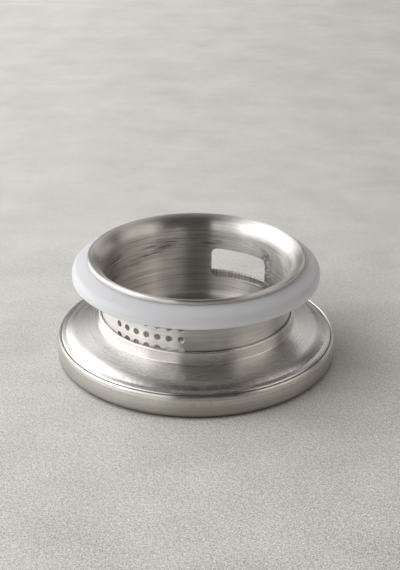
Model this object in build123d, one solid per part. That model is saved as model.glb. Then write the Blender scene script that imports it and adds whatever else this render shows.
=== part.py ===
from build123d import *
import os
from math import cos, radians, sin, tan

# Strainer lid for a carafe, standing upside down on its cap. Millimetres, +Z up.
# Origin: centre of the cap's flat face. The pour slot faces +Y and the strainer holes face -Y.

# Cap: a drawn shell whose rim edge leans in over the seam
CAP_R = 50.0
CAP_SHEET = 0.8
CAP_CORNER_R = 3.0
SEAM_R = 49.4
SEAM_Z = 8.7

# Pan: the pressed plate that closes the cap
PAN_SHEET = 0.6
PAN_RIM_R = 48.6
PAN_RIM_FOOT_Z = 5.6
PAN_RIM_Z = 8.95
PAN_RIM_BEND_R = 0.65
LEDGE_R = 46.9
LEDGE_Z = 9.45
SHOULDER_R = 44.95
SHOULDER_Z = 10.97
SHOULDER_BEND_R = 8.0

# Collar: the pan's sheet folded back on itself round the cup
COLLAR_R = 35.0
COLLAR_FOOT_Z = 12.9
COLLAR_TOP_Z = 17.25
COLLAR_LEG_Z = 9.9
COLLAR_FOOT_BEND_R = 0.5
FIT_GAP = 0.05

# Cup: a drawn cup with a closed floor and a lip that flares out, then turns down at its edge
CUP_R = 33.8
CUP_SHEET = 0.6
FLOOR_Z = 5.7
FLOOR_CORNER_R = 4.0
LIP_R = 38.5
LIP_TOP_Z = 38.5
LIP_EDGE_Z = 36.95
LIP_RISE = 14.0
LIP_FLARE_R = 5.9
LIP_ROLL_R = 0.65

# Strainer holes: straight rows and columns, centred on -Y
HOLE_D = 2.3
HOLE_COLUMNS = 7
HOLE_COLUMN_STEP = 7.15
HOLE_ROWS = 3
HOLE_ROW_STEP = 4.15
HOLE_LOW_Z = 17.2

# Pour slot, centred on +Y
SLOT_WIDTH = 22.9
SLOT_LOW_Z = 14.85
SLOT_HIGH_Z = 26.25
SLOT_CORNER_R = 2.2

# Gasket: a bead under the lip and a skirt that hangs outside it
GASKET_R = 44.0
SKIRT_SHEET = 1.8
SKIRT_EDGE_Z = 30.3
SKIRT_EDGE_BEND_R = 0.89
SKIRT_TOP_Z = 34.3
SKIRT_BEND_R = 3.0
SKIRT_UNDER_Z = 33.0
SKIRT_ROOT_R = 38.7
SKIRT_ROOT_Z = 34.7
BEAD_FOOT_R = 36.8
BEAD_FOOT_Z = 32.2


def turned(face):
    """Turn a face drawn as (radius, height) about the vertical axis."""
    return revolve(Plane.XZ * face, axis=Axis.Z)


def sheet(points, bends, gap):
    """A bent sheet in section: a skin through the points, and its other skin a gap to the left."""
    corners = [Vector(*point) for point in points]
    sides = [(b - a).normalized().rotate(Axis.Z, 90) for a, b in zip(corners, corners[1:])]
    far = [corners[0] + sides[0] * gap]
    far_bends = []
    for corner, bend, before, after in zip(corners[1:], bends, sides, sides[1:]):
        far.append(corner + (before + after) * (gap / (1 + before.dot(after))))
        turns_left = before.cross(after).Z > 0
        far_bends.append(bend - gap if turns_left else bend + gap)
    far.append(corners[-1] + sides[-1] * gap)
    near_skin = FilletPolyline(*corners, radius=bends)
    far_skin = FilletPolyline(*far, radius=far_bends)
    return make_face([near_skin, Line(corners[-1], far[-1]), far_skin, Line(corners[0], far[0])])


def lid_cap():
    skin = [
        (0, 0),
        (CAP_R, 0),
        (CAP_R, SEAM_Z - 1.8),
        (CAP_R - 0.25, SEAM_Z - 0.6),
        (SEAM_R, SEAM_Z),
    ]
    return turned(sheet(skin, [CAP_CORNER_R, 2.5, 1.0], CAP_SHEET))


def lid_pan():
    collar_in = CUP_R + FIT_GAP
    width = COLLAR_R - collar_in
    skin = [
        (PAN_RIM_R, PAN_RIM_FOOT_Z),
        (PAN_RIM_R, PAN_RIM_Z),
        (LEDGE_R, LEDGE_Z),
        (SHOULDER_R, SHOULDER_Z),
        (COLLAR_R - width / 2, COLLAR_FOOT_Z),
    ]
    plate = sheet(skin, [PAN_RIM_BEND_R, 0.5, SHOULDER_BEND_R], PAN_SHEET)
    middle = Pos((COLLAR_R + collar_in) / 2, (COLLAR_TOP_Z + COLLAR_LEG_Z) / 2)
    collar = middle * Rectangle(width, COLLAR_TOP_Z - COLLAR_LEG_Z)
    collar = fillet(collar.vertices().group_by(Axis.Y)[-1], width / 2 - 0.02)
    section = plate + collar
    foot = section.vertices().sort_by_distance((COLLAR_R, COLLAR_FOOT_Z))[0]
    return turned(fillet(foot, COLLAR_FOOT_BEND_R))


def strainer_holes():
    """The punches for the strainer holes, as one group."""
    first = -90 - HOLE_COLUMN_STEP * (HOLE_COLUMNS - 1) / 2
    punches = []
    for column in range(HOLE_COLUMNS):
        angle = first + column * HOLE_COLUMN_STEP
        for row in range(HOLE_ROWS):
            height = HOLE_LOW_Z + row * HOLE_ROW_STEP
            reach = Pos(CUP_R * cos(radians(angle)), CUP_R * sin(radians(angle)), height)
            punches.append(reach * Rot(0, 0, angle) * Rot(0, 90, 0) * Cylinder(HOLE_D / 2, 6))
    return punches


def pour_slot():
    """The punch for the pour slot."""
    outline = RectangleRounded(SLOT_WIDTH, SLOT_HIGH_Z - SLOT_LOW_Z, SLOT_CORNER_R)
    middle = (0, CUP_R + 2, (SLOT_LOW_Z + SLOT_HIGH_Z) / 2)
    start = Plane(origin=middle, x_dir=(1, 0, 0), z_dir=(0, -1, 0))
    return extrude(start * outline, CUP_R / 4)


def lip_z(radius, depth):
    """The height of the lip's slope at a radius, a depth below its upper skin. The slope runs on to
    a corner a little above the lip's top, which the roll rounds off."""
    slope = tan(radians(LIP_RISE))
    slant = 1 / cos(radians(LIP_RISE))
    corner_z = LIP_TOP_Z + LIP_ROLL_R * (slope + slant - 1)
    return corner_z - (LIP_R - radius) * slope - depth * slant


def strainer_cup():
    inner_r = CUP_R - CUP_SHEET
    skin = [
        (0, FLOOR_Z),
        (inner_r, FLOOR_Z),
        (inner_r, lip_z(inner_r, 0)),
        (LIP_R, lip_z(LIP_R, 0)),
        (LIP_R, LIP_EDGE_Z),
    ]
    cup = turned(sheet(skin, [FLOOR_CORNER_R, LIP_FLARE_R, LIP_ROLL_R], -CUP_SHEET))
    return cup - strainer_holes() - pour_slot()


def neck_gasket():
    bead_r = CUP_R + FIT_GAP
    bead_depth = CUP_SHEET + FIT_GAP
    groove_r = LIP_R - CUP_SHEET - FIT_GAP
    groove_z = LIP_EDGE_Z - FIT_GAP
    inner_r = GASKET_R - SKIRT_SHEET
    corners = {
        (bead_r, BEAD_FOOT_Z): 0.4,
        (BEAD_FOOT_R, BEAD_FOOT_Z): 0.5,
        (SKIRT_ROOT_R, SKIRT_ROOT_Z): 0.8,
        (inner_r, SKIRT_UNDER_Z): 1.2,
        (inner_r, SKIRT_EDGE_Z): SKIRT_EDGE_BEND_R,
        (GASKET_R, SKIRT_EDGE_Z): SKIRT_EDGE_BEND_R,
        (GASKET_R, SKIRT_TOP_Z): SKIRT_BEND_R,
        (LIP_R + 0.1, groove_z): 0.15,
        (groove_r, groove_z): 0.1,
        (groove_r, lip_z(groove_r, bead_depth)): 0.5,
        (bead_r, lip_z(bead_r, bead_depth)): LIP_FLARE_R - bead_depth,
    }
    outline = FilletPolyline(*corners, radius=list(corners.values()), close=True)
    return turned(make_face(outline))


PARTS = {
    "lid_cap": lid_cap,
    "lid_pan": lid_pan,
    "strainer_cup": strainer_cup,
    "neck_gasket": neck_gasket,
}

os.makedirs("parts", exist_ok=True)
for node, build in PARTS.items():
    export_step(build(), f"parts/{node}.step")
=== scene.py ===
from collections import namedtuple
from math import atan2, ceil, cos, pi, radians, sin, sqrt, tan

import bpy
import numpy as np
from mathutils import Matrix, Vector


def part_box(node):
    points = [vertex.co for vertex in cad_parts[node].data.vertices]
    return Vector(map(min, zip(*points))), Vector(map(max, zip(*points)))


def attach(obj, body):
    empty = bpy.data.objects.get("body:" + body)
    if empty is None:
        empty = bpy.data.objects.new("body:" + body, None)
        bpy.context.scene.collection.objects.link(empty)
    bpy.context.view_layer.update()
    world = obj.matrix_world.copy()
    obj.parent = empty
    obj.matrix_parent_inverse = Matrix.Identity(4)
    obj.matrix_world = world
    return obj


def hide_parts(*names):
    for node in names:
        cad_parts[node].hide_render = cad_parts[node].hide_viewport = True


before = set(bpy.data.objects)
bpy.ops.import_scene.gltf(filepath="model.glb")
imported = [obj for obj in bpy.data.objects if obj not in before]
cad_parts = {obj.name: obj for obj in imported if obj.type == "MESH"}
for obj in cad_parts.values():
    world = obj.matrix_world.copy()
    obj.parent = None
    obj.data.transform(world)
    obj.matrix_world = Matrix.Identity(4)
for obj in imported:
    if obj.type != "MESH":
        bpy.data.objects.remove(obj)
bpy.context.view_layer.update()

# A strainer lid for a carafe, standing upside down on its cap. Blender works in metres, and the
# outlines below are in millimetres, as (radius, height) above the face that the lid stands on.
MM = 0.001

# ---------------------------------------------------------------------------------------------
# Sizes: the outer ones come from the frame, and the sheet-metal ones are the CAD model's own
# ---------------------------------------------------------------------------------------------


def in_mm(corner):
    return [round(value / MM, 2) for value in corner]


CAP_R, _, SEAM_Z = in_mm(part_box("lid_cap")[1])
PAN_RIM_R, _, COLLAR_TOP_Z = in_mm(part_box("lid_pan")[1])
LIP_R, _, LIP_TOP_Z = in_mm(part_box("strainer_cup")[1])
GASKET_R = in_mm(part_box("neck_gasket")[1])[0]
SKIRT_EDGE_Z = in_mm(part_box("neck_gasket")[0])[2]

CAP_SHEET = 0.8
CAP_CORNER_BEND = 3.0
CAP_TUCK_LOW = 1.8
CAP_TUCK_HIGH = 0.6
CAP_TUCK_IN = 0.25
CAP_TUCK_BEND = 2.5
CAP_LIP_BEND = 1.0
SEAM_R = 49.4

PAN_SHEET = 0.6
PAN_RIM_FOOT_Z = 5.6
PAN_RIM_Z = 8.95
PAN_RIM_BEND = 0.65
LEDGE = (46.9, 9.45)
LEDGE_BEND = 0.5
SHOULDER = (44.95, 10.97)
SHOULDER_BEND = 8.0
COLLAR_R = 35.0
COLLAR_FOOT_Z = 12.9
COLLAR_FOOT_BEND = 0.5
COLLAR_LEG_Z = 9.9
FIT_GAP = 0.05

CUP_R = 33.8
CUP_SHEET = 0.6
FLOOR_Z = 5.7
FLOOR_BEND = 4.0
LIP_EDGE_Z = 36.95
LIP_RISE = radians(14)
FLARE_BEND = 5.9
ROLL_BEND = 0.65

HOLE_R = 1.15
HOLE_COLUMNS = 7
HOLE_ROWS = 3
HOLE_COLUMN_STEP = 7.15
HOLE_ROW_STEP = 4.15
HOLE_LOW_Z = 17.2
HOLES_AT = -90.0
SLOT_WIDTH = 22.9
SLOT_LOW_Z = 14.85
SLOT_HIGH_Z = 26.25
SLOT_CORNER = 2.2
SLOT_AT = 90.0

SKIRT_SHEET = 1.8
SKIRT_TOP_Z = 34.3
SKIRT_BEND = 3.0
BEAD_FOOT_Z = 32.2
BEAD_OUT_R = 36.8
GUTTER = (38.7, 34.7)
SKIRT_EDGE_BEND = 0.89
SKIRT_UNDER_Z = 33.0

# Small edges that the punch and the rolls leave, too small for the CAD model
RAW_EDGE = 0.15
PUNCHED_EDGE = 0.1

# Mesh density
TURN_STEPS = 360
BEND_STEP = radians(7)
WALL_ROW = HOLE_ROW_STEP / 8
STEPS_ACROSS_HOLE = 8
PLAIN_COLUMN = 1.2
SLOT_COLUMN = 1.0
WALL_ROWS = 29
WALL_LOW_Z = HOLE_LOW_Z - HOLE_ROW_STEP / 2 - 4 * WALL_ROW
SLOT_CELL_HALF_ANGLE = 22.0
SLOT_CELL_HALF_HEIGHT = WALL_ROW * WALL_ROWS / 2


# ---------------------------------------------------------------------------------------------
# Outlines: corners with a bend at each, sampled into points that carry their exact normals
# ---------------------------------------------------------------------------------------------


def outline(corners, closed=True):
    """Round the corners (r, z, bend) of a path whose solid lies to its left, and return rows of
    (r, z, normal r, normal z). An open outline keeps its two end corners sharp."""
    rows = []
    count = len(corners)
    for k, (r, z, bend) in enumerate(corners):
        here = np.array([r, z])
        if not closed and k in (0, count - 1):
            other = np.array(corners[1 if k == 0 else count - 2][:2])
            run = (other - here) if k == 0 else (here - other)
            run = run / np.linalg.norm(run)
            rows.append([r, z, run[1], -run[0]])
            continue
        before = here - np.array(corners[k - 1][:2])
        after = np.array(corners[(k + 1) % count][:2]) - here
        before, after = before / np.linalg.norm(before), after / np.linalg.norm(after)
        turn = atan2(before[0] * after[1] - before[1] * after[0], before @ after)
        side = 1 if turn > 0 else -1
        reach = bend * tan(abs(turn) / 2)
        start = here - before * reach
        centre = start + side * bend * np.array([-before[1], before[0]])
        steps = max(2, ceil(abs(turn) / BEND_STEP))
        for i in range(steps + 1):
            a = turn * i / steps
            out = np.array([before[1], -before[0]])
            normal = np.array([out[0] * cos(a) - out[1] * sin(a), out[0] * sin(a) + out[1] * cos(a)])
            point = centre + side * bend * normal
            rows.append([*point, *normal])
    return np.array(rows)


def beside(points, gap):
    """The corners of a path that runs a gap to the left of another."""
    points = [np.array(p, float) for p in points]
    runs = [(b - a) / np.linalg.norm(b - a) for a, b in zip(points, points[1:])]
    sides = [np.array([-run[1], run[0]]) for run in runs]
    moved = [points[0] + sides[0] * gap]
    for point, before, after in zip(points[1:], sides, sides[1:]):
        moved.append(point + (before + after) * gap / (1 + before @ after))
    moved.append(points[-1] + sides[-1] * gap)
    return [tuple(p) for p in moved]


# ---------------------------------------------------------------------------------------------
# Meshes
# ---------------------------------------------------------------------------------------------


class Skin:
    """A mesh in the making: points in millimetres, each with its exact normal, and faces."""

    def __init__(self):
        self.points = []
        self.normals = []
        self.faces = []

    def add(self, point, normal):
        self.points.append(point)
        self.normals.append(normal)
        return len(self.points) - 1

    def add_turned(self, row, angle):
        r, z, nr, nz = row
        c, s = cos(angle), sin(angle)
        return self.add((r * c, r * s, z), (nr * c, nr * s, nz))

    def bridge(self, ring_a, ring_b):
        """Quads between two closed rings of equal length."""
        for k in range(len(ring_a)):
            n = (k + 1) % len(ring_a)
            self.faces.append((ring_a[k], ring_a[n], ring_b[n], ring_b[k]))

    def build(self, name, material):
        mesh = bpy.data.meshes.new(name)
        mesh.from_pydata([[v * MM for v in p] for p in self.points], [], self.faces)
        mesh.polygons.foreach_set("use_smooth", [True] * len(mesh.polygons))
        mesh.update()
        mesh.normals_split_custom_set_from_vertices(self.normals)
        mesh.materials.append(material)
        piece = bpy.data.objects.new(name, mesh)
        bpy.context.scene.collection.objects.link(piece)
        return piece


def lathe(rows, closed=True):
    """Turn an outline about the vertical axis. An open outline starts and ends on the axis, where each
    end becomes one point."""
    skin = Skin()
    body = rows if closed else rows[1:-1]
    angles = [2 * pi * k / TURN_STEPS for k in range(TURN_STEPS)]
    rings = [[skin.add_turned(row, angle) for angle in angles] for row in body]
    pairs = list(zip(rings, rings[1:]))
    if closed:
        pairs.append((rings[-1], rings[0]))
    for low, high in pairs:
        skin.bridge(low, high)
    if not closed:
        for ring, row, flip in ((rings[0], rows[0], True), (rings[-1], rows[-1], False)):
            pole = skin.add((0, 0, row[1]), (0, 0, row[3]))
            for k in range(len(ring)):
                n = (k + 1) % len(ring)
                face = (ring[k], ring[n], pole)
                skin.faces.append(face[::-1] if flip else face)
    return skin


# ---------------------------------------------------------------------------------------------
# The cup: a turned outline whose wall is a grid with punched openings in it
# ---------------------------------------------------------------------------------------------


def spread(start, end, step):
    """Even angles from start up to end, in degrees, about a step apart, without the end."""
    count = max(1, round((end - start) / step))
    return [start + (end - start) * k / count for k in range(count)]


class Opening:
    """A punched opening: where its cell lies in the wall's grid, and its rounded outline."""

    def __init__(self, angle, height, half_angle, half_height, width, tall, corner):
        self.angle = radians(angle)
        self.height = height
        self.half_angle = radians(half_angle)
        self.half_height = half_height
        self.flat_u = width / 2 - corner
        self.flat_v = tall / 2 - corner
        self.width = width
        self.tall = tall
        self.corner = corner

    def edge(self, u, v, reach_u, grow):
        """The outline's point for a point (u, v) on the cell's border, and the way out there."""
        u *= self.width / 2 / reach_u
        v *= self.tall / 2 / self.half_height
        core = np.array([np.clip(u, -self.flat_u, self.flat_u), np.clip(v, -self.flat_v, self.flat_v)])
        away = np.array([u, v]) - core
        away /= np.linalg.norm(away)
        return core + away * (self.corner + grow), away


def cup_openings():
    openings = []
    first = HOLES_AT - HOLE_COLUMN_STEP * (HOLE_COLUMNS - 1) / 2
    for column in range(HOLE_COLUMNS):
        for row in range(HOLE_ROWS):
            openings.append(Opening(
                first + column * HOLE_COLUMN_STEP, HOLE_LOW_Z + row * HOLE_ROW_STEP,
                HOLE_COLUMN_STEP / 2, HOLE_ROW_STEP / 2, 2 * HOLE_R, 2 * HOLE_R, HOLE_R))
    openings.append(Opening(
        SLOT_AT, (SLOT_LOW_Z + SLOT_HIGH_Z) / 2, SLOT_CELL_HALF_ANGLE, SLOT_CELL_HALF_HEIGHT,
        SLOT_WIDTH, SLOT_HIGH_Z - SLOT_LOW_Z, SLOT_CORNER))
    return openings


def cup_columns():
    """The wall's columns in radians: fine ones at the holes and the slot, and wider ones between."""
    half_holes = HOLE_COLUMN_STEP * HOLE_COLUMNS / 2
    stops = [HOLES_AT - half_holes, HOLES_AT + half_holes,
             SLOT_AT - SLOT_CELL_HALF_ANGLE, SLOT_AT + SLOT_CELL_HALF_ANGLE]
    angles = spread(stops[0], stops[1], HOLE_COLUMN_STEP / STEPS_ACROSS_HOLE)
    angles += spread(stops[1], stops[2], PLAIN_COLUMN)
    angles += spread(stops[2], stops[3], SLOT_COLUMN)
    angles += spread(stops[3], stops[0] + 360, PLAIN_COLUMN)
    return [radians(a) for a in angles]


def lip_z(radius, depth):
    """The height of the lip's slope at a radius, a depth below its upper skin."""
    slope, slant = tan(LIP_RISE), 1 / cos(LIP_RISE)
    corner_z = LIP_TOP_Z + ROLL_BEND * (slope + slant - 1)
    return corner_z - (LIP_R - radius) * slope - depth * slant


def cup_outline():
    inner_r = CUP_R - CUP_SHEET
    roll_in = LIP_R - CUP_SHEET
    return outline([
        (0, FLOOR_Z - CUP_SHEET, 0),
        (CUP_R, FLOOR_Z - CUP_SHEET, FLOOR_BEND + CUP_SHEET),
        (CUP_R, lip_z(CUP_R, CUP_SHEET), FLARE_BEND - CUP_SHEET),
        (roll_in, lip_z(roll_in, CUP_SHEET), ROLL_BEND - CUP_SHEET),
        (roll_in, LIP_EDGE_Z, RAW_EDGE),
        (LIP_R, LIP_EDGE_Z, RAW_EDGE),
        (LIP_R, lip_z(LIP_R, 0), ROLL_BEND),
        (inner_r, lip_z(inner_r, 0), FLARE_BEND),
        (inner_r, FLOOR_Z, FLOOR_BEND),
        (0, FLOOR_Z, 0),
    ], closed=False)


def with_wall_rows(rows, wall_z):
    """Add the grid's rows to the straight outer wall, on the way up, and inner wall, on the way down.
    Returns all rows, and where each wall's rows start."""
    result, starts = [], []
    for k, row in enumerate(rows):
        result.append(row)
        if k + 1 == len(rows):
            break
        after = rows[k + 1]
        upright = abs(after[0] - row[0]) < 1e-6 and abs(after[1] - row[1]) > wall_z[-1] - wall_z[0]
        if upright:
            starts.append(len(result))
            heights = wall_z if after[1] > row[1] else wall_z[::-1]
            result += [[row[0], z, row[2], row[3]] for z in heights]
    return np.array(result), starts


def punch(skin, opening, angles, wall_z, outside, inside):
    """Fill an opening's cell in both skins with a patch round its outline, and join them by the
    punched wall. outside and inside are grids of points, by height and then column."""
    here = range(len(wall_z))
    rows = [j for j in here if abs(wall_z[j] - opening.height) < opening.half_height + 1e-6]
    turn = [(a - opening.angle + pi) % (2 * pi) - pi for a in angles]
    columns = [i for i in range(len(angles)) if abs(turn[i]) < opening.half_angle + 1e-6]
    columns.sort(key=lambda i: turn[i])
    border = [(rows[0], i) for i in columns[:-1]]
    border += [(j, columns[-1]) for j in rows[:-1]]
    border += [(rows[-1], i) for i in columns[:0:-1]]
    border += [(j, columns[0]) for j in rows[:0:-1]]
    out = np.array([cos(opening.angle), sin(opening.angle), 0])
    along = np.array([-sin(opening.angle), cos(opening.angle), 0])
    up = np.array([0, 0, 1.0])

    def ring(radius, grow, depth):
        """Points round the outline, on the skin of that radius or a depth into the sheet."""
        points = []
        reach_u = radius * sin(opening.half_angle)
        for j, i in border:
            u, v = radius * sin(turn[i]), wall_z[j] - opening.height
            (u, v), away = opening.edge(u, v, reach_u, grow)
            deep = radius - depth
            point = out * sqrt(deep * deep - u * u) + along * u + up * (opening.height + v)
            if depth:
                normal = -(along * away[0] + up * away[1])
            else:
                normal = np.array([point[0], point[1], 0]) / deep
                if radius < CUP_R:
                    normal = -normal
            points.append(skin.add(tuple(point), tuple(normal)))
        return points

    inner_r = CUP_R - CUP_SHEET
    rings = [
        [outside[j][i] for j, i in border],
        ring(CUP_R, PUNCHED_EDGE, 0),
        ring(CUP_R, 0, PUNCHED_EDGE),
        ring(inner_r, 0, -PUNCHED_EDGE),
        ring(inner_r, PUNCHED_EDGE, 0),
        [inside[j][i] for j, i in border],
    ]
    for near, far in zip(rings, rings[1:]):
        skin.bridge(near, far)
    return {(j, i) for j in rows[:-1] for i in columns[:-1]}


def cup_skin():
    wall_z = [WALL_LOW_Z + WALL_ROW * k for k in range(WALL_ROWS + 1)]
    angles = cup_columns()
    rows, starts = with_wall_rows(cup_outline(), wall_z)
    skin = Skin()
    grid = {}
    for k in range(1, len(rows) - 1):
        grid[k] = [skin.add_turned(rows[k], a) for a in angles]
    outside = [grid[starts[0] + j] for j in range(len(wall_z))]
    inside = [grid[starts[1] + j] for j in range(len(wall_z))][::-1]
    open_cells = set()
    for opening in cup_openings():
        open_cells |= punch(skin, opening, angles, wall_z, outside, inside)
    count = len(angles)
    last = len(wall_z) - 1
    for k in range(1, len(rows) - 2):
        for i in range(count):
            cell = (k - starts[0], i) if k < starts[1] else (last - 1 - (k - starts[1]), i)
            if cell not in open_cells:
                n = (i + 1) % count
                skin.faces.append((grid[k][i], grid[k][n], grid[k + 1][n], grid[k + 1][i]))
    low = skin.add((0, 0, rows[0][1]), (0, 0, -1))
    high = skin.add((0, 0, rows[-1][1]), (0, 0, 1))
    for i in range(count):
        n = (i + 1) % count
        skin.faces.append((low, grid[1][n], grid[1][i]))
        skin.faces.append((grid[len(rows) - 2][i], grid[len(rows) - 2][n], high))
    return skin


# ---------------------------------------------------------------------------------------------
# The turned pieces
# ---------------------------------------------------------------------------------------------


def cap_skin():
    skin = [(0, 0), (CAP_R, 0), (CAP_R, SEAM_Z - CAP_TUCK_LOW),
            (CAP_R - CAP_TUCK_IN, SEAM_Z - CAP_TUCK_HIGH), (SEAM_R, SEAM_Z)]
    bends = [0, CAP_CORNER_BEND, CAP_TUCK_BEND, CAP_LIP_BEND, RAW_EDGE]
    far = beside(skin, CAP_SHEET)
    near_side = [(r, z, bend) for (r, z), bend in zip(skin, bends)]
    far_bends = [0, *[bend - CAP_SHEET for bend in bends[1:-1]], RAW_EDGE]
    far_side = [(r, z, bend) for (r, z), bend in zip(far, far_bends)]
    return lathe(outline(near_side + far_side[::-1], closed=False), closed=False)


def pan_skin():
    collar_in = CUP_R + FIT_GAP
    fold = (COLLAR_R - collar_in) / 2 - 0.02
    top = [(PAN_RIM_R, PAN_RIM_FOOT_Z), (PAN_RIM_R, PAN_RIM_Z), LEDGE, SHOULDER, (COLLAR_R, COLLAR_FOOT_Z)]
    under = beside(top, PAN_SHEET)
    near_bends = [RAW_EDGE, PAN_RIM_BEND, LEDGE_BEND, SHOULDER_BEND, COLLAR_FOOT_BEND]
    under_bends = [RAW_EDGE, PAN_RIM_BEND - PAN_SHEET, LEDGE_BEND + PAN_SHEET, SHOULDER_BEND - PAN_SHEET, 0.3]
    under[-1] = (COLLAR_R, under[-1][1])
    corners = [(*p, bend) for p, bend in zip(top, near_bends)]
    corners += [(COLLAR_R, COLLAR_TOP_Z, fold), (collar_in, COLLAR_TOP_Z, fold)]
    corners += [(collar_in, COLLAR_LEG_Z, RAW_EDGE), (COLLAR_R, COLLAR_LEG_Z, RAW_EDGE)]
    corners += [(*p, bend) for p, bend in zip(under[::-1], under_bends[::-1])]
    return lathe(outline(corners))


def gasket_skin():
    bead_r = CUP_R + FIT_GAP
    bead_depth = CUP_SHEET + FIT_GAP
    groove_r = LIP_R - CUP_SHEET - FIT_GAP
    groove_z = LIP_EDGE_Z - FIT_GAP
    inner_r = GASKET_R - SKIRT_SHEET
    return lathe(outline([
        (bead_r, BEAD_FOOT_Z, 0.4),
        (BEAD_OUT_R, BEAD_FOOT_Z, 0.5),
        (*GUTTER, 0.8),
        (inner_r, SKIRT_UNDER_Z, 1.2),
        (inner_r, SKIRT_EDGE_Z, SKIRT_EDGE_BEND),
        (GASKET_R, SKIRT_EDGE_Z, SKIRT_EDGE_BEND),
        (GASKET_R, SKIRT_TOP_Z, SKIRT_BEND),
        (LIP_R + 0.1, groove_z, 0.15),
        (groove_r, groove_z, 0.1),
        (groove_r, lip_z(groove_r, bead_depth), 0.5),
        (bead_r, lip_z(bead_r, bead_depth), FLARE_BEND - bead_depth),
    ]))


# ---------------------------------------------------------------------------------------------
# Materials
# ---------------------------------------------------------------------------------------------


class Nodes:
    """Short names for the shader nodes that the materials use."""

    def __init__(self, tree):
        self.tree = tree
        tree.nodes.clear()

    def new(self, kind, **values):
        node = self.tree.nodes.new(kind)
        for key, value in values.items():
            setattr(node, key, value)
        return node

    def set(self, socket, value):
        if isinstance(value, bpy.types.NodeSocket):
            self.tree.links.new(value, socket)
        else:
            socket.default_value = value

    def math(self, operation, *values):
        node = self.new("ShaderNodeMath", operation=operation)
        for socket, value in zip(node.inputs, values):
            self.set(socket, value)
        return node.outputs[0]

    def vector(self, x, y, z):
        node = self.new("ShaderNodeCombineXYZ")
        for socket, value in zip(node.inputs, (x, y, z)):
            self.set(socket, value)
        return node.outputs[0]

    def noise(self, vector, scale, detail=2.0, roughness=0.5):
        node = self.new("ShaderNodeTexNoise")
        self.set(node.inputs["Vector"], vector)
        self.set(node.inputs["Scale"], scale)
        self.set(node.inputs["Detail"], detail)
        self.set(node.inputs["Roughness"], roughness)
        return node.outputs["Fac"]

    def span(self, value, low, high, to_low=0.0, to_high=1.0, smooth=False):
        node = self.new("ShaderNodeMapRange")
        if smooth:
            node.interpolation_type = "SMOOTHSTEP"
        for name, item in zip(("Value", "From Min", "From Max", "To Min", "To Max"),
                              (value, low, high, to_low, to_high)):
            self.set(node.inputs[name], item)
        return node.outputs["Result"]

    def blend(self, factor, a, b):
        node = self.new("ShaderNodeMix", data_type="RGBA")
        self.set(node.inputs["Factor"], factor)
        self.set(node.inputs["A"], a)
        self.set(node.inputs["B"], b)
        return node.outputs["Result"]

    def bump(self, height, distance, normal=None):
        node = self.new("ShaderNodeBump")
        self.set(node.inputs["Height"], height)
        self.set(node.inputs["Distance"], distance)
        if normal is not None:
            self.set(node.inputs["Normal"], normal)
        return node.outputs["Normal"]


def material(name):
    made = bpy.data.materials.new(name)
    made.use_nodes = True
    nodes = Nodes(made.node_tree)
    shader = nodes.new("ShaderNodeBsdfPrincipled")
    output = nodes.new("ShaderNodeOutputMaterial")
    nodes.set(output.inputs["Surface"], shader.outputs["BSDF"])
    return made, nodes, shader


# How much rougher than clean steel a mark is
MARK_ROUGHNESS = 0.15


def round_axes(nodes):
    """Where a point is round the axis, as a unit vector, and how far it is out and up, in mm."""
    where = nodes.new("ShaderNodeTexCoord").outputs["Object"]
    split = nodes.new("ShaderNodeSeparateXYZ")
    nodes.set(split.inputs[0], where)
    x, y, z = split.outputs
    radius = nodes.math("SQRT", nodes.math("ADD", nodes.math("MULTIPLY", x, x), nodes.math("MULTIPLY", y, y)))
    safe = nodes.math("MAXIMUM", radius, 1e-5)
    return (nodes.math("DIVIDE", x, safe), nodes.math("DIVIDE", y, safe),
            nodes.math("MULTIPLY", radius, 1 / MM), nodes.math("MULTIPLY", z, 1 / MM))


def view_axes(nodes, x, y):
    """How far a level place or direction is to the camera's right, and away from the camera."""
    c, s = cos(CAMERA_AZIMUTH), sin(CAMERA_AZIMUTH)
    right = nodes.math("ADD", nodes.math("MULTIPLY", x, c), nodes.math("MULTIPLY", y, s))
    away = nodes.math("SUBTRACT", nodes.math("MULTIPLY", y, c), nodes.math("MULTIPLY", x, s))
    return right, away


def ring_noise(nodes, axes, length, pitch, detail=2.0, shift=0.0):
    """Noise drawn out round the axis: length is in radians of turn, and pitch in mm across."""
    ux, uy, out, up = axes
    lane = nodes.math("ADD", nodes.math("MULTIPLY", out, 0.8), up)
    across = nodes.math("ADD", nodes.math("MULTIPLY", lane, 1 / pitch), shift)
    vector = nodes.vector(
        nodes.math("MULTIPLY", ux, 1 / length), nodes.math("MULTIPLY", uy, 1 / length), across)
    return nodes.noise(vector, 1.0, detail)


def spoke_noise(nodes, axes, pitch, shift=0.0):
    """Noise that changes round the axis only, in lines up the wall. The pitch is in radians."""
    ux, uy, _, up = axes
    vector = nodes.vector(nodes.math("MULTIPLY", ux, 1 / pitch), nodes.math("MULTIPLY", uy, 1 / pitch),
                          nodes.math("ADD", nodes.math("MULTIPLY", up, 0.08), shift))
    return nodes.noise(vector, 1.0, 2.0)


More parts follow.
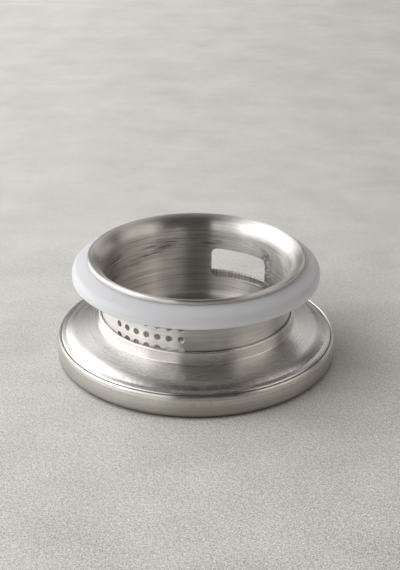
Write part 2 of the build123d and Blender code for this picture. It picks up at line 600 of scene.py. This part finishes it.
def steel(name, color, rough, stretch, relief, marks, seed):
    """Turned and brushed stainless steel: fine lines round the axis, broader bands and smudges.
    relief scales how strong they are. marks(nodes, axes) returns a mask of dull marks, and their colour."""
    made, nodes, shader = material(name)
    axes = round_axes(nodes)
    where = nodes.new("ShaderNodeTexCoord").outputs["Object"]
    fine = ring_noise(nodes, axes, 0.5, 0.2, 2.0, seed)
    lines = ring_noise(nodes, axes, 0.8, 0.75, 2.0, seed + 31)
    bands = ring_noise(nodes, axes, 1.2, 3.0, 2.0, seed + 57)
    patches = nodes.noise(where, 70.0, 4.0, 0.6)
    tone = 1.0
    for pattern, depth in ((fine, 0.08), (lines, 0.18), (bands, 0.08), (patches, 0.06)):
        tone = nodes.math("MULTIPLY", nodes.span(pattern, 0.32, 0.68, 1 - depth * relief, 1.0), tone)
    surface = nodes.blend(tone, (0, 0, 0, 1), (*color, 1))
    roughness = nodes.math("ADD", nodes.span(fine, 0.2, 0.8, rough - 0.05, rough + 0.05),
                           nodes.span(patches, 0.35, 0.65, 0.04 * relief, -0.04 * relief))
    mask, mark_color = marks(nodes, axes)
    surface = nodes.blend(mask, surface, mark_color)
    roughness = nodes.math("ADD", roughness, nodes.math("MULTIPLY", mask, MARK_ROUGHNESS))
    nodes.set(shader.inputs["Base Color"], surface)
    nodes.set(shader.inputs["Roughness"], roughness)
    shader.inputs["Metallic"].default_value = 1.0
    shader.inputs["Anisotropic"].default_value = stretch
    shader.inputs["Anisotropic Rotation"].default_value = 0.25
    tangent = nodes.new("ShaderNodeTangent", direction_type="RADIAL", axis="Z")
    nodes.set(shader.inputs["Tangent"], tangent.outputs[0])
    normal = nodes.bump(fine, 0.000003 * relief)
    normal = nodes.bump(lines, 0.000008 * relief, normal)
    nodes.set(shader.inputs["Normal"], normal)
    return made


def inside(nodes, value, low, high, soft):
    """A soft mask of where a value is between low and high."""
    rises = nodes.span(value, low - soft, low + soft, smooth=True)
    falls = nodes.span(value, high - soft, high + soft, 1.0, 0.0, smooth=True)
    return nodes.math("MULTIPLY", rises, falls)


SMEAR_AT = radians(68)
SCUFFS_Z = (21.0, 31.0)
SMEARS_Z = (14.0, 31.0)
SCUFF_BROWN = (0.13, 0.115, 0.11, 1)
DRESSED_RING = (45.3, 46.9)
DRESSED_GREY = (0.26, 0.27, 0.31, 1)
COLLAR_BROWN = (0.3, 0.25, 0.22, 1)
CAP_SIDE_Z = (1.8, 6.4)
CAP_FOOT_DARK = (0.2, 0.185, 0.165, 1)


def cup_marks(nodes, axes):
    """Scuffs round the inside of the cup: smeared ones in a band below the lip and beside the slot, and
    long thin ones."""
    ux, uy, out, up = axes
    inner = nodes.span(out, CUP_R - 0.35, CUP_R - 0.25, 1.0, 0.0)
    band = inside(nodes, up, *SCUFFS_Z, 3.0)
    clouds = nodes.span(ring_noise(nodes, axes, 0.35, 6.0, 3.0, 71.0), 0.42, 0.6)
    scuffs = nodes.span(ring_noise(nodes, axes, 0.3, 0.5, 4.0, 83.0), 0.42, 0.62)
    mask = nodes.math("MULTIPLY", nodes.math("MULTIPLY", band, clouds), scuffs)
    long_ones = nodes.span(ring_noise(nodes, axes, 1.2, 0.45, 3.0, 97.0), 0.56, 0.72, 0.0, 0.6)
    mask = nodes.math("MAXIMUM", mask, long_ones)
    beside_slot = nodes.math(
        "ADD", nodes.math("MULTIPLY", ux, cos(SMEAR_AT)), nodes.math("MULTIPLY", uy, sin(SMEAR_AT)))
    near = nodes.span(beside_slot, cos(radians(8)), cos(radians(1.5)))
    smears = nodes.span(ring_noise(nodes, axes, 0.07, 1.3, 4.0, 41.0), 0.4, 0.58)
    smears = nodes.math("MULTIPLY", nodes.math("MULTIPLY", smears, near), inside(nodes, up, *SMEARS_Z, 2.0))
    mask = nodes.math("MAXIMUM", mask, smears)
    mask = nodes.math("MULTIPLY", nodes.math("MULTIPLY", mask, inner), 0.85)
    return mask, SCUFF_BROWN


def pan_marks(nodes, axes):
    """A mottled ring where the ledge was dressed, and dull upright lines inside the collar."""
    _, _, out, up = axes
    ring = inside(nodes, out, *DRESSED_RING, 0.3)
    specks = nodes.span(ring_noise(nodes, axes, 0.03, 0.3, 3.0, 13.0), 0.42, 0.6)
    ring = nodes.math("MULTIPLY", nodes.math("MULTIPLY", ring, specks), 0.38)
    collar = nodes.math("MULTIPLY", nodes.span(out, 34.2, 34.3, 1.0, 0.0), nodes.span(up, 12.0, 12.5))
    lines = nodes.span(spoke_noise(nodes, axes, 0.02, 5.0), 0.35, 0.65, 0.45, 0.95)
    collar = nodes.math("MULTIPLY", collar, lines)
    return nodes.math("MAXIMUM", ring, collar), nodes.blend(collar, DRESSED_GREY, COLLAR_BROWN)


def cap_marks(nodes, axes):
    """Fine upright lines on the cap's side, which is darker and rougher towards its foot."""
    _, _, out, up = axes
    wall = nodes.span(out, CAP_R - 2.5, CAP_R - 0.5)
    side = nodes.math("MULTIPLY", inside(nodes, up, *CAP_SIDE_Z, 0.8), wall)
    lines = nodes.span(spoke_noise(nodes, axes, 0.012, 9.0), 0.4, 0.7, 0.0, 0.28)
    # The cap's side gets darker and rougher towards its foot
    dull = nodes.math("MULTIPLY", nodes.span(up, 6.3, 3.2, 0.0, 0.42, smooth=True), wall)
    mask = nodes.math("MAXIMUM", nodes.math("MULTIPLY", side, lines), dull)
    return mask, CAP_FOOT_DARK


SHADE_OVER_STEEL = (0.64, 0.645, 0.66, 1)
MILKY = (0.815, 0.835, 0.87, 1)
MILKY_LIGHT = (0.85, 0.87, 0.895, 1)


def silicone():
    """Milky silicone, clear enough for light to pass through the thin edge of the skirt, with painted shade
    where the steel lies behind it.
    """
    made, nodes, shader = material("white_silicone")
    where = nodes.new("ShaderNodeTexCoord").outputs["Object"]
    cloud = nodes.noise(where, 90.0, 3.0)
    _, _, out, up = round_axes(nodes)
    over_air = nodes.blend(cloud, MILKY, MILKY_LIGHT)
    # Painted shade: greyer near the lip, where steel lies behind the silicone, fading to milky at the skirt's
    # thin edge
    skirt = nodes.span(up, SKIRT_TOP_Z + 0.5, SKIRT_EDGE_Z, smooth=True)
    nodes.set(shader.inputs["Base Color"], nodes.blend(skirt, SHADE_OVER_STEEL, over_air))
    nodes.set(shader.inputs["Roughness"], nodes.span(cloud, 0.3, 0.7, 0.36, 0.46))
    shader.inputs["Subsurface Weight"].default_value = 1.0
    shader.inputs["Subsurface Scale"].default_value = 0.005
    nodes.set(shader.inputs["Transmission Weight"], nodes.span(out, LIP_R + 1.5, GASKET_R, 0.0, 0.1))
    shader.inputs["Subsurface Radius"].default_value = (1.0, 1.0, 1.1)
    shader.inputs["IOR"].default_value = 1.41
    grain = nodes.noise(where, 2500.0, 2.0)
    nodes.set(shader.inputs["Normal"], nodes.bump(grain, 0.000006))
    return made


# A painted falloff of the light: the floor's tone changes by this much a metre, to the camera's right and
# away from it, up to a limit
PAINTED_LIGHT_FALLOFF = (-0.7, 0.15)
PAINTED_LIGHT_FALLOFF_MOST = 0.15
FLOOR_DARK = (0.02, 0.02, 0.018, 1)
FLOOR_LIGHT = (1.385, 1.37, 1.275, 1)
CLOUD_DEPTH = 0.036
WISP_DEPTH = 0.025
GRAIN_DEPTH = 0.13
GRIT_DEPTH = 0.3
# Reach of the painted contact shadow, in mm inside and outside the cap's edge
SHADE_IN = 2.5
SHADE_OUT = 0.3


def stone():
    """A pale honed floor: soft clouds, wisps, and a grain that shows less further away, with a painted
    falloff of light across it. Close under the cap a contact shadow is painted in, dark as the gap there is."""
    made, nodes, shader = material("pale_floor")
    where = nodes.new("ShaderNodeTexCoord").outputs["Object"]
    split = nodes.new("ShaderNodeSeparateXYZ")
    nodes.set(split.inputs[0], where)
    x, y, _ = split.outputs
    right, away = view_axes(nodes, x, y)
    drawn_out = nodes.vector(nodes.math("MULTIPLY", right, 36.0), nodes.math("MULTIPLY", away, 62.0), 3.0)
    clouds = nodes.noise(where, 28.0, 5.0, 0.6)
    wisps = nodes.noise(drawn_out, 1.0, 4.0, 0.65)
    grain = nodes.noise(where, 700.0, 4.0, 0.75)
    grit = nodes.noise(where, 1900.0, 2.0, 0.7)
    near = nodes.span(away, -0.1, 0.14, 1.0, 0.2)
    tone = nodes.math("ADD", nodes.span(clouds, 0.3, 0.7, -CLOUD_DEPTH, CLOUD_DEPTH),
                      nodes.span(wisps, 0.3, 0.7, -WISP_DEPTH, WISP_DEPTH))
    fine = nodes.math("ADD", nodes.span(grain, 0.25, 0.75, -GRAIN_DEPTH, GRAIN_DEPTH),
                      nodes.span(grit, 0.25, 0.75, -GRIT_DEPTH, GRIT_DEPTH))
    tone = nodes.math("ADD", tone, nodes.math("MULTIPLY", fine, near))
    # Painted light falloff: darker to the camera's right and lighter away from the camera
    slope = nodes.math(
        "ADD", nodes.math("MULTIPLY", right, PAINTED_LIGHT_FALLOFF[0]), nodes.math("MULTIPLY", away, PAINTED_LIGHT_FALLOFF[1]))
    slope = nodes.math("MINIMUM", nodes.math("MAXIMUM", slope, -PAINTED_LIGHT_FALLOFF_MOST), PAINTED_LIGHT_FALLOFF_MOST)
    # Base tone with a painted light falloff: a little darker far away, and darker again nearest the camera
    tone = nodes.math("ADD", nodes.math("ADD", tone, slope), nodes.span(away, 0.03, 0.35, 0.5, 0.46))
    tone = nodes.math("ADD", tone, nodes.span(away, -0.11, -0.05, -0.02, 0.0))
    # Painted contact shadow: the floor's tone falls to a twentieth of itself close under the cap's edge
    _, _, out, _ = round_axes(nodes)
    tone = nodes.math("MULTIPLY", tone, nodes.span(out, CAP_R - SHADE_IN, CAP_R + SHADE_OUT, 0.05, 1.0))
    nodes.set(shader.inputs["Base Color"], nodes.blend(tone, FLOOR_DARK, FLOOR_LIGHT))
    shader.inputs["Roughness"].default_value = 0.8
    nodes.set(shader.inputs["Normal"], nodes.bump(grit, 0.0001))
    return made


# ---------------------------------------------------------------------------------------------
# The studio: floor, light and camera
# ---------------------------------------------------------------------------------------------

CAMERA_AZIMUTH = radians(30)
CAMERA_DISTANCE = 0.4935
CAMERA_ELEVATION = radians(27.03)
AIM = (0.0014, 0.0, 0.0262)
CAMERA_ROLL = radians(-0.2)
LENS = 85.8

# The studio's soft light. A box stands at a turn to the right of the camera, as seen from the object,
# and at a rise above the floor, in degrees, as are its half width, half height and soft edge. Its
# light is a part of the studio's full strength.
SoftBox = namedtuple("SoftBox", "turn rise half_width half_height soft light tint")
COOL = (0.99, 0.99, 1.01)
WARM = (1.05, 0.99, 0.95)
STUDIO_STRENGTH = 3.6
ROOM_LIGHT = 0.02
WINDOW = SoftBox(-100, 20, 50, 36, 14, 0.8, COOL)
FRONT_LEFT = SoftBox(-38, 12, 18, 30, 4, 0.4, COOL)
RIGHT_CARD = SoftBox(78, 32, 28, 18, 12, 0.36, WARM)
BACK_CARD = SoftBox(180, 40, 28, 18, 10, 0.25, COOL)
BACK_RIGHT_CARD = SoftBox(135, 5, 20, 14, 8, 0.16, WARM)
SOFT_BOXES = (WINDOW, FRONT_LEFT, RIGHT_CARD, BACK_CARD, BACK_RIGHT_CARD)


def add_floor():
    mesh = bpy.data.meshes.new("floor")
    mesh.from_pydata([(-3, -3, 0), (3, -3, 0), (3, 3, 0), (-3, 3, 0)], [], [(0, 1, 2, 3)])
    mesh.materials.append(stone())
    floor = bpy.data.objects.new("floor", mesh)
    bpy.context.scene.collection.objects.link(floor)


def add_light():
    """A dim room with soft boxes round the object, painted on the sky one over the other. They stand
    with the camera's azimuth, so the light falls as in the photograph."""
    world = bpy.data.worlds.new("studio")
    bpy.context.scene.world = world
    world.use_nodes = True
    nodes = Nodes(world.node_tree)
    direction = nodes.new("ShaderNodeTexCoord").outputs["Generated"]
    split = nodes.new("ShaderNodeSeparateXYZ")
    nodes.set(split.inputs[0], direction)
    x, y, z = split.outputs
    right, away = view_axes(nodes, x, y)
    toward = nodes.math("MULTIPLY", away, -1.0)
    turn = nodes.math("MULTIPLY", nodes.math("ARCTAN2", right, toward), 180 / pi)
    rise = nodes.math("MULTIPLY", nodes.math("ARCSINE", z), 180 / pi)
    color = (*[ROOM_LIGHT * part for part in WARM], 1)
    for box in SOFT_BOXES:
        apart = nodes.math("WRAP", nodes.math("SUBTRACT", turn, box.turn), 180.0, -180.0)
        aside = nodes.math("ABSOLUTE", apart)
        above = nodes.math("ABSOLUTE", nodes.math("SUBTRACT", rise, box.rise))
        wide = nodes.span(aside, box.half_width + box.soft, box.half_width - box.soft, smooth=True)
        tall = nodes.span(above, box.half_height + box.soft, box.half_height - box.soft, smooth=True)
        lit = (*[box.light * part for part in box.tint], 1)
        color = nodes.blend(nodes.math("MULTIPLY", wide, tall), color, lit)
    background = nodes.new("ShaderNodeBackground")
    nodes.set(background.inputs["Color"], color)
    background.inputs["Strength"].default_value = STUDIO_STRENGTH
    output = nodes.new("ShaderNodeOutputWorld")
    nodes.set(output.inputs["Surface"], background.outputs[0])


def add_camera():
    scene = bpy.context.scene
    data = bpy.data.cameras.new("camera")
    data.lens = LENS
    data.clip_start = 0.01
    camera = bpy.data.objects.new("camera", data)
    scene.collection.objects.link(camera)
    c, s = cos(CAMERA_AZIMUTH), sin(CAMERA_AZIMUTH)
    reach = CAMERA_DISTANCE * cos(CAMERA_ELEVATION)
    camera.location = (reach * s, -reach * c, SEAM_Z * MM + CAMERA_DISTANCE * sin(CAMERA_ELEVATION))
    aim = Vector((AIM[0] * c, AIM[0] * s, AIM[2]))
    look = (aim - camera.location).to_track_quat("-Z", "Y")
    camera.rotation_euler = look.to_euler()
    camera.rotation_euler.rotate_axis("Z", -CAMERA_ROLL)
    scene.camera = camera
    scene.view_settings.view_transform = "Standard"


# ---------------------------------------------------------------------------------------------
# Put it together
# ---------------------------------------------------------------------------------------------


def add_piece(name, skin, made, node):
    piece = skin.build(name, made)
    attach(piece, "root")
    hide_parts(node)


add_floor()
add_light()
add_camera()
cap_steel = steel("cap_steel", (0.73, 0.7, 0.65), 0.31, 0.9, 0.8, cap_marks, 3.0)
pan_steel = steel("pan_steel", (0.74, 0.718, 0.68), 0.28, 0.9, 0.35, pan_marks, 11.0)
cup_steel = steel("cup_steel", (0.86, 0.83, 0.785), 0.34, 1.0, 1.0, cup_marks, 23.0)
add_piece("cap_shell", cap_skin(), cap_steel, "lid_cap")
add_piece("pan_plate", pan_skin(), pan_steel, "lid_pan")
add_piece("cup_sheet", cup_skin(), cup_steel, "strainer_cup")
add_piece("gasket_ring", gasket_skin(), silicone(), "neck_gasket")
